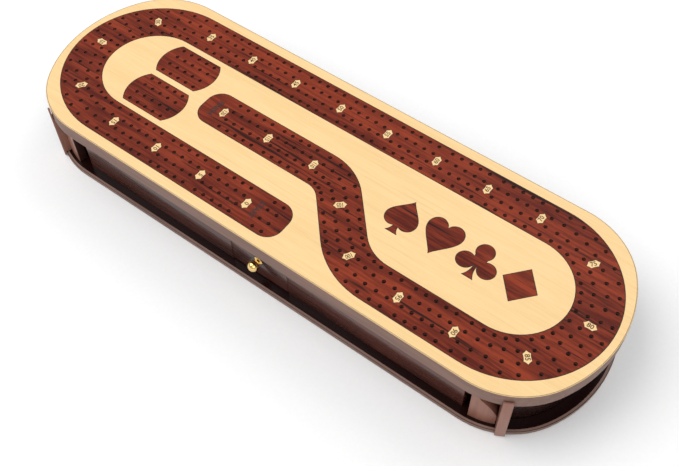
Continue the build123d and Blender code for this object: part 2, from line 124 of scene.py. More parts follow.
class Shade:
    """A material under construction."""

    def __init__(self, name: str) -> None:
        """Starts an empty node material.

        Args:
            name: The material's name.
        """
        self.material = bpy.data.materials.new(name)
        self.material.use_nodes = True
        self.tree = self.material.node_tree
        self.tree.nodes.clear()

    def node(
        self,
        kind: str,
        settings: dict[str, object] | None = None,
        sockets: dict[Union[int, str], object] | None = None,
        output: Union[int, str] = 0,
    ) -> Value:
        """Adds one node.

        Args:
            kind: The node's type.
            settings: Its properties, and under "stops" a ramp's positions and colours.
            sockets: Values or links by input name or number.
            output: Which output to return.

        Returns:
            The chosen output.
        """
        made = self.tree.nodes.new(kind)
        for key, setting in (settings or {}).items():
            if key == "stops":
                self._set_stops(made.color_ramp, setting)
            else:
                setattr(made, key, setting)
        for key, term in (sockets or {}).items():
            if isinstance(term, Value):
                self.tree.links.new(term.socket, made.inputs[key])
            else:
                made.inputs[key].default_value = term
        return Value(self, made.outputs[output])

    @staticmethod
    def _set_stops(ramp: bpy.types.ColorRamp, stops: Sequence[tuple[float, Colour]]) -> None:
        """Gives a colour ramp its stops.

        Args:
            ramp: The ramp.
            stops: Positions and colours in order.
        """
        while len(ramp.elements) < len(stops):
            ramp.elements.new(1.0)
        for element, (place, colour) in zip(ramp.elements, stops):
            element.position = place
            element.color = colour

    def object_space(self, scale: Sequence[float]) -> Value:
        """Object coordinates stretched along each axis."""
        place = self.node("ShaderNodeTexCoord", output="Object")
        return self.node("ShaderNodeMapping", None, {"Vector": place, "Scale": tuple(scale)})

    def noise(self, scale: Sequence[float], detail: float = 3.0, roughness: float = 0.55) -> Value:
        """Noise between about 0.3 and 0.7.

        Args:
            scale: Waves per metre along each axis.
            detail: Number of finer layers.
            roughness: Strength of each finer layer against the one before.

        Returns:
            The noise.
        """
        sockets = {"Vector": self.object_space(scale), "Scale": 1.0, "Detail": detail,
                   "Roughness": roughness}
        return self.node("ShaderNodeTexNoise", None, sockets)

    def mix(self, factor: Number, first: object, second: object) -> Value:
        """Mixes two colours: the first at 0 and the second at 1."""
        settings = {"data_type": "RGBA", "blend_type": "MIX"}
        return self.node("ShaderNodeMix", settings, {0: factor, 6: first, 7: second}, output=2)

    def facing(self, axis: str) -> Value:
        """The surface normal's part along an axis: 1 or -1 on faces square to it."""
        normal = self.node("ShaderNodeNewGeometry", output="True Normal")
        return self.node("ShaderNodeSeparateXYZ", None, {0: normal}, output=axis)

    def half(self) -> Value:
        """1 on the board's +X half and -1 on its -X half."""
        place = self.node("ShaderNodeTexCoord", output="Object")
        return self.node("ShaderNodeSeparateXYZ", None, {0: place}, output="X").sign()

    def bump(self, height: Value, depth: float) -> Value:
        """Surface normal tilted by a height pattern of the given depth in metres."""
        sockets = {"Height": height, "Distance": depth, "Strength": 1.0}
        return self.node("ShaderNodeBump", None, sockets)

    def surface(self, **sockets: object) -> bpy.types.Material:
        """Finishes the material with a Principled surface.

        Args:
            sockets: Values or links by input name, with underscores for spaces.

        Returns:
            The finished material.
        """
        named = {key.replace("_", " "): term for key, term in sockets.items()}
        shader = self.node("ShaderNodeBsdfPrincipled", None, named)
        end = self.tree.nodes.new("ShaderNodeOutputMaterial")
        self.tree.links.new(shader.socket, end.inputs["Surface"])
        return self.material


class Grain(Enum):
    """Direction in which a board's grain runs."""

    ALONG_X = "along_x"
    ALONG_Y = "along_y"
    UPRIGHT = "upright"

    def scale(self, along: float, across: float) -> tuple[float, float, float]:
        """Turns a streak's waves towards the grain.

        Args:
            along: Waves per metre along the grain.
            across: Waves per metre across it.

        Returns:
            Waves per metre on each axis.
        """
        if self is Grain.ALONG_X:
            return along, across, across
        if self is Grain.ALONG_Y:
            return across, along, across
        return across, across, along


@dataclass(frozen=True)
class Pattern:
    """Noise that follows the grain, and the part of its range that shows."""

    along: float
    across: float
    detail: float
    low: float
    high: float
    roughness: float = 0.55

    def drawn(self, shade: Shade, grain: Grain) -> Value:
        """The pattern as a value between 0 and 1."""
        noise = shade.noise(grain.scale(self.along, self.across), self.detail, self.roughness)
        return noise.between(self.low, self.high)


FIGURE = Pattern(9.0, 95.0, detail=4.0, low=0.34, high=0.66)
STREAKS = Pattern(32.0, 1150.0, detail=5.0, low=0.40, high=0.62, roughness=0.62)
PORES = Pattern(170.0, 3600.0, detail=2.0, low=0.60, high=0.70)
LINES = Pattern(14.0, 620.0, detail=3.0, low=0.56, high=0.68, roughness=0.7)
SAW_MARKS = Pattern(25.0, 420.0, detail=3.0, low=0.3, high=0.7)


@dataclass(frozen=True)
class Wood:
    """Lacquered wood with broad figure, fine streaks and pores.

    The edge colour stains the sides. The flat colour is painted shade on the level faces, and the
    end colour is painted shade on the faces that look outwards along X.
    """

    name: str
    pale: Colour
    deep: Colour
    vein: Colour
    roughness: float = 0.4
    specular: float = 0.22
    coat: float = 0.08
    coat_roughness: float = 0.2
    streak_waves: float = STREAKS.across
    line_waves: float = LINES.across
    vein_strength: float = 0.6
    relief: float = 0.01 * MM
    edge: Colour | None = None
    edge_roughness: float = 0.5
    flat: Colour | None = None
    end: Colour | None = None
    painted_shade_side: float = 1.0
    roughness_swing: float = 0.08
    pore_relief: float = 1.5
    line_relief: float = 0.6
    level: tuple[float, float] = (0.55, 0.8)
    painted_shade_range: tuple[float, float] = (0.62, 0.78)
    deeper: tuple[float, float, float] = (0.6, 0.58, 0.56)

    def build(self, grain: Grain) -> bpy.types.Material:
        """Makes the material.

        Args:
            grain: Direction of the grain.

        Returns:
            The finished material.
        """
        shade = Shade(f"{self.name}_{grain.value}")
        broad = FIGURE.drawn(shade, grain)
        streaks = replace(STREAKS, across=self.streak_waves).drawn(shade, grain)
        pores = PORES.drawn(shade, grain)
        lines = replace(LINES, across=self.line_waves).drawn(shade, grain)
        body = shade.mix(broad * 0.5 + streaks * 0.5, self.deep, self.pale)
        colour = shade.mix(lines * self.vein_strength, body, self.vein)
        colour = shade.mix(pores * (0.5 * self.vein_strength), colour, self.vein)
        roughness = streaks * self.roughness_swing + (self.roughness - self.roughness_swing / 2)
        if self.edge is not None:
            flatness = shade.facing("Z").size().between(*self.level)
            cut = SAW_MARKS.drawn(shade, grain)
            rim = shade.mix(cut * 0.5, self.edge, self._darker(self.edge))
            face = colour
            # Painted shade: the flat colour darkens the level faces.
            if self.flat is not None:
                face = shade.mix(streaks * 0.5, self.flat, self._darker(self.flat))
            colour = shade.mix(flatness, rim, face)
            ends = {0: flatness, 3: self.edge_roughness, 4: self.roughness}
            roughness = shade.node("ShaderNodeMapRange", None, ends)
        # Painted shade: the end colour darkens the faces that look towards the board's ends, or
        # towards its middle when the side is -1.
        if self.end is not None:
            outwards = shade.facing("X") * shade.half() * self.painted_shade_side
            colour = shade.mix(outwards.between(*self.painted_shade_range), colour, self.end)
        height = streaks - pores * self.pore_relief - lines * self.line_relief
        return shade.surface(
            Base_Color=colour,
            Roughness=roughness,
            Specular_IOR_Level=self.specular,
            Coat_Weight=self.coat,
            Coat_Roughness=self.coat_roughness,
            Normal=shade.bump(height, self.relief),
        )

    def _darker(self, colour: Colour) -> Colour:
        """The same colour at a little over half its strength."""
        red, green, blue = (part * share for part, share in zip(colour, self.deeper))
        return red, green, blue, 1.0


@dataclass(frozen=True)
class Metal:
    """Turned or cold-headed metal with faint tool marks and handling haze."""

    name: str
    colour: Colour
    tarnish: Colour
    roughness: float
    haze_waves: tuple[float, float, float] = (260.0, 260.0, 260.0)
    haze_range: tuple[float, float] = (0.35, 0.75)
    haze_colour: float = 0.35
    haze_roughness: float = 0.10
    mark_waves: tuple[float, float, float] = (300.0, 5200.0, 300.0)
    mark_depth: float = 0.002 * MM

    def build(self) -> bpy.types.Material:
        """Makes the material.

        Returns:
            The finished material.
        """
        shade = Shade(self.name)
        haze = shade.noise(self.haze_waves, 4.0).between(*self.haze_range)
        marks = shade.noise(self.mark_waves, 2.0)
        return shade.surface(
            Base_Color=shade.mix(haze * self.haze_colour, self.colour, self.tarnish),
            Metallic=1.0,
            Roughness=haze * self.haze_roughness + self.roughness,
            Normal=shade.bump(marks, self.mark_depth),
        )


@dataclass(frozen=True)
class Scorch:
    """Wood darkened by the cutting beam: engraved strokes, outlines and hole rims."""

    name: str
    colour: Colour
    char: Colour
    roughness: float
    coat: float
    coat_roughness: float = 0.12
    patch_waves: tuple[float, float, float] = (2400.0, 2400.0, 2400.0)
    patch_range: tuple[float, float] = (0.35, 0.65)
    patch_roughness: float = 0.2
    relief: float = 0.01 * MM

    def build(self) -> bpy.types.Material:
        """Makes the material.

        Returns:
            The finished material.
        """
        shade = Shade(self.name)
        patches = shade.noise(self.patch_waves).between(*self.patch_range)
        return shade.surface(
            Base_Color=shade.mix(patches, self.colour, self.char),
            Roughness=patches * self.patch_roughness + self.roughness,
            Coat_Weight=self.coat,
            Coat_Roughness=self.coat_roughness,
            Normal=shade.bump(patches, self.relief),
        )


STAIN: Colour = (0.225, 0.132, 0.104, 1.0)
# Painted shade: near black for the level faces of the stained boards, the ledge lying in shadow.
PAINTED_LEDGE_SHADE: Colour = (0.014, 0.0045, 0.0038, 1.0)

MAPLE = Wood("maple", (0.87, 0.62, 0.31, 1), (0.82, 0.56, 0.265, 1), (0.70, 0.45, 0.20, 1),
             roughness=0.38, coat=0.1, vein_strength=0.3, streak_waves=700.0, edge=STAIN)
BLOODWOOD = Wood("bloodwood", (0.285, 0.043, 0.017, 1), (0.085, 0.011, 0.006, 1),
                 (0.020, 0.006, 0.005, 1), roughness=0.42, specular=0.11, coat=0.02,
                 vein_strength=0.95, relief=0.02 * MM, streak_waves=560.0, line_waves=340.0)
# Painted shade: the flat colour darkens the deck's and base's level faces.
DECK = Wood("stained_edge", STAIN, (0.10, 0.07, 0.06, 1), (0.05, 0.03, 0.03, 1), roughness=0.2,
            coat=0.0, relief=0.002 * MM, edge=STAIN, flat=PAINTED_LEDGE_SHADE)
# Painted highlight: a lighter copy of the stain for a band along the base's upper edge.
EDGE_HIGHLIGHT = Wood("painted_highlight_band", (0.30, 0.185, 0.150, 1), (0.25, 0.150, 0.120, 1),
            (0.17, 0.10, 0.08, 1), roughness=0.45, coat=0.0, relief=0.002 * MM)
BODY = Wood("lacquered_body", (0.105, 0.024, 0.014, 1), (0.034, 0.009, 0.006, 1),
            (0.010, 0.003, 0.002, 1), roughness=0.30, specular=0.3, coat=0.4,
            coat_roughness=0.05, vein_strength=0.5, relief=0.0015 * MM, streak_waves=500.0)
# Painted shade: the end colour darkens the rib faces that look outwards along X.
LIGHT = Wood("light_brown", (0.310, 0.140, 0.100, 1), (0.235, 0.103, 0.073, 1),
             (0.15, 0.062, 0.043, 1), roughness=0.36, coat=0.12, vein_strength=0.35,
             relief=0.005 * MM, end=(0.030, 0.011, 0.008, 1.0))
# Painted shade on the bracket faces that look towards the board's middle.
BRACKET = replace(LIGHT, name="light_brown_bracket", painted_shade_side=-1.0)
# Painted shade: a near-black copy of the wood for the card drawer fronts, which lie in the shade
# of the end recesses.
SHADOWED = Wood("painted_shade_front", (0.026, 0.008, 0.006, 1), (0.012, 0.004, 0.003, 1),
                (0.005, 0.002, 0.002, 1), roughness=0.30, specular=0.3, coat=0.25,
                coat_roughness=0.08, vein_strength=0.4, relief=0.001 * MM, streak_waves=400.0)
DRAWER = Wood("drawer_wood", (0.20, 0.085, 0.045, 1), (0.13, 0.05, 0.028, 1),
              (0.06, 0.025, 0.015, 1), roughness=0.5, coat=0.0)
BRASS = Metal("polished_brass", (0.89, 0.62, 0.24, 1), (0.62, 0.38, 0.13, 1), 0.12)
STEEL = Metal("screw_steel", (0.58, 0.58, 0.60, 1), (0.33, 0.32, 0.31, 1), 0.28)
ENGRAVING = Scorch("engraved_brown", (0.13, 0.065, 0.02, 1), (0.07, 0.03, 0.01, 1), 0.6, 0.0)
TRACK_ENGRAVING = Scorch("engraved_dark", (0.016, 0.005, 0.004, 1), (0.008, 0.004, 0.004, 1),
                         0.5, 0.1)
RIM_SCORCH = Scorch("hole_rim", (0.085, 0.020, 0.012, 1), (0.030, 0.009, 0.007, 1), 0.16, 1.0)
BURN = Scorch("burnt_outline", (0.040, 0.016, 0.010, 1), (0.016, 0.007, 0.005, 1), 0.55, 0.0)


# ------------------------------------------------------------------ mesh helpers
def mesh_object(
    name: str, shape: bmesh.types.BMesh, smooth_angle: float = 35.0
) -> bpy.types.Object:
    """Turns a finished bmesh into an object at the origin.

    Args:
        name: The piece's name.
        shape: Its geometry in the board's frame; it is freed.
        smooth_angle: Edges flatter than this many degrees are shaded smooth.

    Returns:
        The new object.
    """
    mesh = bpy.data.meshes.new(name)
    shape.to_mesh(mesh)
    shape.free()
    mesh.shade_smooth()
    mesh.set_sharp_from_angle(angle=math.radians(smooth_angle))
    piece = bpy.data.objects.new(name, mesh)
    bpy.context.scene.collection.objects.link(piece)
    return piece


def dress(piece: bpy.types.Object, material: bpy.types.Material) -> None:
    """Gives every slot of a piece one material.

    Args:
        piece: The piece.
        material: Its material.
    """
    if not piece.data.materials:
        piece.data.materials.append(material)
    for slot in piece.material_slots:
        slot.link = "OBJECT"
        slot.material = material


def settle(piece: bpy.types.Object, body: str, slot: str, *replaced: str) -> None:
    """Attaches a piece to the body that it rides on and hides the nodes that it stands for.

    Args:
        piece: The finished piece.
        body: Name of the CAD body.
        slot: Name of the record's material slot; not used.
        replaced: CAD nodes that the piece replaces.
    """
    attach(piece, body)
    if replaced:
        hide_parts(*replaced)
    log.info("%s rides on %s, %d faces", piece.name, body, len(piece.data.polygons))


def lathe(
    outline: Sequence[tuple[float, float]], placing: Matrix, steps: int, closed: bool = False
) -> bmesh.types.BMesh:
    """Spins a half outline of (radius, height) points about Z and places it.

    Args:
        outline: Points from the axis out and back to it, or round a closed section.
        placing: Where the turned shape goes.
        steps: Number of facets round the turn.
        closed: Whether the outline runs back to its first point.

    Returns:
        The closed turned shape.
    """
    shape = bmesh.new()
    corners = [shape.verts.new((radius, 0.0, height)) for radius, height in outline]
    chain = corners + corners[:1] if closed else corners
    edges = [shape.edges.new(pair) for pair in zip(chain, chain[1:])]
    bmesh.ops.spin(shape, geom=corners + edges, cent=(0, 0, 0), axis=(0, 0, 1),
                   angle=2 * math.pi, steps=steps, use_merge=True)
    bmesh.ops.remove_doubles(shape, verts=shape.verts, dist=FINE_WELD)
    bmesh.ops.recalc_face_normals(shape, faces=shape.faces)
    bmesh.ops.transform(shape, matrix=placing, verts=shape.verts)
    return shape


def scatter(shape: bmesh.types.BMesh, places: Iterable[Vector]) -> bmesh.types.BMesh:
    """Copies one shape to several places.

    Args:
        shape: The shape at the origin; it is freed.
        places: Where its copies go.

    Returns:
        All the copies as one shape.
    """
    pattern = bpy.data.meshes.new("pattern")
    shape.to_mesh(pattern)
    shape.free()
    copies = bmesh.new()
    for place in places:
        known = len(copies.verts)
        copies.from_mesh(pattern)
        copies.verts.ensure_lookup_table()
        bmesh.ops.translate(copies, verts=copies.verts[known:], vec=place)
    bpy.data.meshes.remove(pattern)
    return copies


# ------------------------------------------------------------------ the playing track
@dataclass(frozen=True)
class Place:
    """A point on the track's centre line and the direction of play there."""

    x: float
    y: float
    heading: float

    def across(self, offset: float) -> Vector:
        """Point at a sideways offset, to the left of play when positive."""
        return Vector((self.x - offset * math.sin(self.heading),
                       self.y + offset * math.cos(self.heading), 0.0))


@dataclass
class Track:
    """Centre line of play from the lower straight round the board to its middle.

    It runs along the lower side, round both ends, back along the lower side and up an S to the
    middle. The climb is the length of the S, and low_x is where the S begins.
    """

    loop_centre: float = 132.9 * MM
    loop_radius: float = 44.9 * MM
    bend: float = math.radians(48.0)
    low_radius: float = 40.0 * MM
    high_radius: float = 26.0 * MM
    high_x: float = 1.8 * MM
    finish_x: float = -88.7 * MM
    pitch: float = 35.08 * MM
    clearance: float = 4.72 * MM
    group: int = 5
    lanes: tuple[float, ...] = (-10.04 * MM, -3.57 * MM, 3.57 * MM, 10.04 * MM)
    start_columns: tuple[float, ...] = (1.7 * MM, -4.8 * MM)
    loop_degrees: tuple[float, ...] = (-51.5, 0.0, 51.5)
    side_plaques: int = 8
    return_plaques: int = 2
    climb_plaques: tuple[float, ...] = (64.5 * MM, 29.3 * MM)
    middle_plaques: tuple[float, ...] = (-4.0 * MM, -38.4 * MM, -73.2 * MM)
    half_loop: float = field(init=False)
    rise: float = field(init=False)
    low_x: float = field(init=False)
    climb: float = field(init=False)
    runs: list[tuple[float, float]] = field(init=False)

    def __post_init__(self) -> None:
        """Works out the runs of the centre line as (length, turn) pairs."""
        drop = (self.low_radius + self.high_radius) * (1 - math.cos(self.bend))
        self.rise = (self.loop_radius - drop) / math.sin(self.bend)
        reach = (self.low_radius + self.high_radius) * math.sin(self.bend)
        self.low_x = self.high_x + reach + self.rise * math.cos(self.bend)
        self.half_loop = math.pi * self.loop_radius
        self.climb = (self.low_radius + self.high_radius) * self.bend + self.rise
        self.runs = [
            (self.loop_centre, 0.0),
            (self.half_loop, -math.pi),
            (2 * self.loop_centre, 0.0),
            (self.half_loop, -math.pi),
            (self.loop_centre - self.low_x, 0.0),
            (self.low_radius * self.bend, -self.bend),
            (self.rise, 0.0),
            (self.high_radius * self.bend, self.bend),
            (self.high_x - self.finish_x, 0.0),
        ]

    def at(self, distance: float) -> Place:
        """Place at a distance of play from the middle of the lower side.

        Args:
            distance: Length along the centre line.

        Returns:
            The place and heading there.
        """
        x, y, heading = 0.0, -self.loop_radius, math.pi
        for length, turn in self.runs:
            step = min(distance, length)
            swing = turn * step / length
            chord = step if not turn else 2 * length / abs(turn) * math.sin(abs(swing) / 2)
            x += chord * math.cos(heading + swing / 2)
            y += chord * math.sin(heading + swing / 2)
            heading += swing
            distance -= step
            if distance <= 0:
                break
        return Place(x, y, heading)

    def plaque_distances(self) -> list[float]:
        """Spaces the number plaques 0, 5, 10 and so on to 120.

        Returns:
            Their distances of play.
        """
        top = self.loop_centre + self.half_loop
        right = top + 2 * self.loop_centre
        bottom = right + self.half_loop
        turns = [self.half_loop / 2 + self.loop_radius * math.radians(degrees)
                 for degrees in self.loop_degrees]
        outermost = (self.side_plaques - 1) / 2
        places = [self.pitch * (k + 0.5) for k in range(self.side_plaques // 2)]
        places += [self.loop_centre + turn for turn in turns]
        places += [top + self.loop_centre + self.pitch * (k - outermost)
                   for k in range(self.side_plaques)]
        places += [right + turn for turn in turns]
        places += [bottom + self.loop_centre - self.pitch * (outermost - k)
                   for k in range(self.return_plaques)]
        climb_end = bottom + self.loop_centre - self.low_x + self.climb
        places += [climb_end - along for along in self.climb_plaques]
        places += [climb_end + self.high_x - x for x in self.middle_plaques]
        return places

    def plaques(self) -> list[Place]:
        """Places of the number plaques."""
        return [self.at(distance) for distance in self.plaque_distances()]

    def holes(self) -> list[Vector]:
        """Spaces the peg holes of the track, the starting holes included.

        Returns:
            Their centres.
        """
        columns = [Place(x, -self.loop_radius, math.pi) for x in self.start_columns]
        stations = self.plaque_distances()
        for first, last in zip(stations, stations[1:]):
            step = (last - first - 2 * self.clearance) / (self.group - 1)
            columns += [self.at(first + self.clearance + k * step) for k in range(self.group)]
        return [column.across(offset) for column in columns for offset in self.lanes]


@dataclass
class Lettering:
    """Numbers on the plaques and the two words engraved in the track."""

    track: Track
    top: float
    plaque_height: float = 3.9 * MM
    plaque_weight: float = 0.07 * MM
    long_squeeze: float = 0.74
    long_digits: int = 3
    word_height: float = 5.2 * MM
    word_weight: float = 0.09 * MM
    word_squeeze: float = 0.85
    start_x: float = -10.4 * MM
    finish_x: float = -79.9 * MM
    lift: float = 0.03 * MM
    depth: float = 0.25 * MM

    def _strokes(
        self, words: str, height: float, squeeze: float, place: Place, weight: float
    ) -> bmesh.types.BMesh:
        """Makes one piece of lettering as a thin solid, reading outwards across the track.

        Args:
            words: The characters.
            height: Their size.
            squeeze: Their width against the typeface's own.
            place: Where their middle goes.
            weight: By how much the strokes are thickened.

        Returns:
            The closed strokes.
        """
        curve = bpy.data.curves.new("strokes", "FONT")
        curve.body = words
        curve.size = height
        curve.align_x = "CENTER"
        curve.align_y = "CENTER"
        curve.extrude = self.depth / 2
        curve.resolution_u = 3
        curve.offset = weight
        holder = bpy.data.objects.new("strokes", curve)
        bpy.context.scene.collection.objects.link(holder)
        bpy.context.view_layer.update()
        depsgraph = bpy.context.evaluated_depsgraph_get()
        mesh = bpy.data.meshes.new_from_object(holder.evaluated_get(depsgraph))
        shape = bmesh.new()
        shape.from_mesh(mesh)
        bpy.data.objects.remove(holder)
        bpy.data.curves.remove(curve)
        bpy.data.meshes.remove(mesh)
        bmesh.ops.remove_doubles(shape, verts=shape.verts, dist=WELD)
        move = Matrix.Translation((place.x, place.y, self.top + self.lift - self.depth / 2))
        turn = Matrix.Rotation(place.heading + QUARTER_TURN, 4, "Z")
        squash = Matrix.Diagonal((squeeze, 1.0, 1.0, 1.0))
        bmesh.ops.transform(shape, matrix=move @ turn @ squash, verts=shape.verts)
        return shape

    @staticmethod
    def _gather(shapes: Iterable[bmesh.types.BMesh]) -> bmesh.types.BMesh:
        """Joins several shapes into one.

        Args:
            shapes: The shapes; each is freed.

        Returns:
            The joined shape.
        """
        whole = bmesh.new()
        for shape in shapes:
            part = bpy.data.meshes.new("part")
            shape.to_mesh(part)
            shape.free()
            whole.from_mesh(part)
            bpy.data.meshes.remove(part)
        return whole

    def build(self) -> None:
        """Builds and dresses the numbers and the words."""
        numbers = []
        for step, place in enumerate(self.track.plaques()):
            number = str(self.track.group * step)
            squeeze = self.long_squeeze if len(number) >= self.long_digits else 1.0
            numbers.append(self._strokes(
                number, self.plaque_height, squeeze, place, self.plaque_weight))
        numerals = mesh_object("plaque_numerals", self._gather(numbers))
        dress(numerals, ENGRAVING.build())
        settle(numerals, "case", "maple")
        words = {
            "start_lettering": ("START", Place(self.start_x, -self.track.loop_radius, math.pi)),
            "finish_lettering": ("FINISH", Place(self.finish_x, 0.0, math.pi)),
        }
        ink = TRACK_ENGRAVING.build()
        for name, (word, place) in words.items():
            piece = mesh_object(name, self._strokes(
                word, self.word_height, self.word_squeeze, place, self.word_weight))
            dress(piece, ink)
            settle(piece, "case", "bloodwood")


@dataclass
class HoleRims:
    """Scorched bevels round the mouths of the peg holes.

    The slope, crown and wall are shares of the flare.
    """

    track: Track
    top: float
    radius: float = 1.2 * MM
    flare: float = 0.13 * MM
    drop: float = 0.30 * MM
    lip: float = 0.02 * MM
    slope: float = 0.35
    crown: float = 0.7
    wall: float = 0.8
    facets: int = 16
    tally_columns: tuple[float, ...] = (-128.6 * MM, -122.2 * MM, -115.8 * MM, -109.4 * MM,
                                        -103.0 * MM)
    tally_centre: float = 15.0 * MM

    def _ring(self) -> bmesh.types.BMesh:
        """Turns one rim.

        Returns:
            A flared collar with a small rounded lip, centred on the origin.
        """
        outline = [
            (self.radius - self.lip, -self.drop),
            (self.radius - self.lip, -self.flare * self.wall),
            (self.radius + self.flare * self.slope, -self.lip),
            (self.radius + self.flare * self.crown, self.lip),
            (self.radius + self.flare, -self.lip),
            (self.radius + self.flare * self.wall, -self.drop),
        ]
        return lathe(outline, Matrix.Identity(4), self.facets, closed=True)

    def _tally_holes(self) -> list[Vector]:
        """Centres of the holes of the two games-won plates."""
        rows = [side * self.tally_centre + lane for side in (1, -1) for lane in self.track.lanes]
        return [Vector((x, y, 0.0)) for x in self.tally_columns for y in rows]

    def build(self) -> None:
        """Builds the rims of the track and of the tally plates."""
        material = RIM_SCORCH.build()
        height = Vector((0, 0, self.top))
        for name, holes in (("track_hole_rims", self.track.holes()),
                            ("tally_hole_rims", self._tally_holes())):
            rims = scatter(self._ring(), [hole + height for hole in holes])
            piece = mesh_object(name, rims, smooth_angle=50.0)
            dress(piece, material)
            settle(piece, "case", "bloodwood")


@dataclass
class EdgeStrips:
    """Thin lines that follow the outlines of a flat top: scorch marks or a painted highlight."""

    top: float
    label: str
    nodes: tuple[str, ...]
    slot: str
    material: bpy.types.Material
    width: float
    outermost: bool = False
    lift: float = 0.015 * MM
    depth: float = 0.06 * MM
    smallest: float = 4.0 * MM
    level: float = 0.99
    slack: float = 0.01 * MM

    def _rim_edges(self, shape: bmesh.types.BMesh) -> set[bmesh.types.BMEdge]:
        """Finds the edges that bound a flat top, holes included.

        Args:
            shape: The node's merged shape.

        Returns:
            The bounding edges.
        """
        crown = {face for face in shape.faces if face.normal.z > self.level
                 and face.calc_center_median().z > self.top - self.slack}
        return {edge for edge in shape.edges
                if sum(face in crown for face in edge.link_faces) == 1}

    @staticmethod
    def _loops(edges: set[bmesh.types.BMEdge]) -> list[list[bmesh.types.BMEdge]]:
        """Sorts rim edges into closed loops, in the mesh's own order.

        Args:
            edges: The rim edges; the set is emptied.

        Returns:
            The edges of each loop in turn.
        """
        loops = []
        for start in sorted(edges, key=lambda edge: edge.index):
            if start not in edges:
                continue
            edges.discard(start)
            loop, corner = [start], start.verts[1]
            while True:
                following = [edge for edge in corner.link_edges if edge in edges]
                if not following:
                    break
                edges.discard(following[0])
                loop.append(following[0])
                corner = following[0].other_vert(corner)
            loops.append(loop)
        return loops

    @staticmethod
    def _span(loop: list[bmesh.types.BMEdge]) -> float:
        """Measures a loop.

        Args:
            loop: The loop's edges.

        Returns:
            The larger side of its bounding box.
        """
        xs = [corner.co.x for edge in loop for corner in edge.verts]
        ys = [corner.co.y for edge in loop for corner in edge.verts]
        return max(max(xs) - min(xs), max(ys) - min(ys))

    def _wanted(self, edges: set[bmesh.types.BMEdge]) -> list[list[bmesh.types.BMEdge]]:
        """The loops that are larger than a peg hole, or only the largest one."""
        loops = [loop for loop in self._loops(edges) if self._span(loop) > self.smallest]
        return sorted(loops, key=self._span)[-1:] if self.outermost else loops

    def _lines(self, node: str) -> bmesh.types.BMesh:
        """Draws the lines of one node.

        Args:
            node: Name of the CAD node.

        Returns:
            The lines as thin closed strips.
        """
        shape = bmesh.new()
        shape.from_mesh(frame["nodes"][node].data)
        bmesh.ops.remove_doubles(shape, verts=shape.verts, dist=WELD)
        shape.edges.index_update()
        loops = self._wanted(self._rim_edges(shape))
        kept = {edge for loop in loops for edge in loop}
        bmesh.ops.delete(shape, geom=list(shape.faces), context="FACES_ONLY")
        bmesh.ops.delete(shape, geom=[edge for edge in shape.edges if edge not in kept],
                         context="EDGES")
        strips = []
        for loop in loops:
            fill = bmesh.ops.contextual_create(shape, geom=loop)["faces"]
            rim = bmesh.ops.inset_individual(shape, faces=fill, thickness=self.width,
                                             use_even_offset=True)["faces"]
            bmesh.ops.delete(shape, geom=fill, context="FACES_ONLY")
            strips += rim
        raised = bmesh.ops.extrude_face_region(shape, geom=strips, use_keep_orig=True)["geom"]
        upper = {part for part in raised if isinstance(part, bmesh.types.BMVert)}
        lower = [corner for corner in shape.verts if corner not in upper]
        bmesh.ops.translate(shape, verts=list(upper), vec=(0, 0, self.lift))
        bmesh.ops.translate(shape, verts=lower, vec=(0, 0, -self.depth))
        bmesh.ops.recalc_face_normals(shape, faces=shape.faces)
        return shape

    def build(self) -> None:
        """Builds the lines of every node."""
        for node in self.nodes:
            piece = mesh_object(f"{node}_{self.label}", self._lines(node))
            dress(piece, self.material)
            settle(piece, "case", self.slot)


INLAY_LINE = 0.30 * MM
RIM_LINE = 0.22 * MM
# Width of the painted highlight along the base's upper edge.
BASE_HIGHLIGHT_WIDTH = 1.3 * MM


def edge_lines(top: float) -> None:
    """Adds the scorch lines round the inlays and a painted highlight on the base's upper edge.

    Args:
        top: Height of the board's top face.
    """
    scorch = BURN.build()
    inlays = ("track_inlay", "games_won_plate_upper", "games_won_plate_lower", "spade_inlay",
              "heart_inlay", "club_inlay", "diamond_inlay")
    EdgeStrips(top, "burnt_outline", inlays, "bloodwood", scorch, INLAY_LINE).build()
    EdgeStrips(top, "rim_line", ("maple_top_sheet",), "maple", scorch, RIM_LINE,
               outermost=True).build()
    # Painted highlight: a lighter band round the base's upper edge.
    base_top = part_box("base_board")[1].z
    EdgeStrips(base_top, "painted_highlight_edge", ("base_board",), "stained_edge",
               EDGE_HIGHLIGHT.build(Grain.ALONG_X), BASE_HIGHLIGHT_WIDTH, outermost=True).build()


# ------------------------------------------------------------------ hardware
@dataclass
class BrassKnob:
    """Turned ball knob of the peg drawer.

    The foot's points are steps in from its radius and heights, and the cove's are radii and
    heights.
    """

    ball_radius: float = 3.5 * MM
    foot_radius: float = 3.0 * MM
    neck_radius: float = 1.6 * MM
    neck_height: float = 1.7 * MM
    ball_steps: int = 20
    facets: int = 64
    seat: float = 0.02 * MM
    foot: tuple[tuple[float, float], ...] = (
        (0.15 * MM, 0.02 * MM), (0.0, 0.17 * MM), (0.0, 0.6 * MM), (0.12 * MM, 0.75 * MM))
    cove: tuple[tuple[float, float], ...] = ((2.5 * MM, 0.95 * MM), (2.0 * MM, 1.25 * MM))

    def build(self) -> None:
        """Builds the knob on the drawer front, along -Y."""
        low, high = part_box("peg_drawer_knob")
        reach = high.y - low.y - self.ball_radius
        outline = [(0.0, self.seat)]
        outline += [(self.foot_radius - step, height) for step, height in self.foot]
        outline += [*self.cove, (self.neck_radius, self.neck_height)]
        first = math.asin(self.neck_radius / self.ball_radius)
        for k in range(self.ball_steps):
            angle = first + (math.pi - first) * k / self.ball_steps
            outline.append((self.ball_radius * math.sin(angle),
                            reach - self.ball_radius * math.cos(angle)))
        outline.append((0.0, reach + self.ball_radius))
        centre = (low + high) / 2
        mount = Matrix.Translation((centre.x, high.y, centre.z))
        shape = lathe(outline, mount @ Matrix.Rotation(QUARTER_TURN, 4, "X"), self.facets)
        knob = mesh_object("peg_drawer_brass_knob", shape, smooth_angle=30.0)
        dress(knob, BRASS.build())
        settle(knob, "peg_drawer", "brass", "peg_drawer_knob")


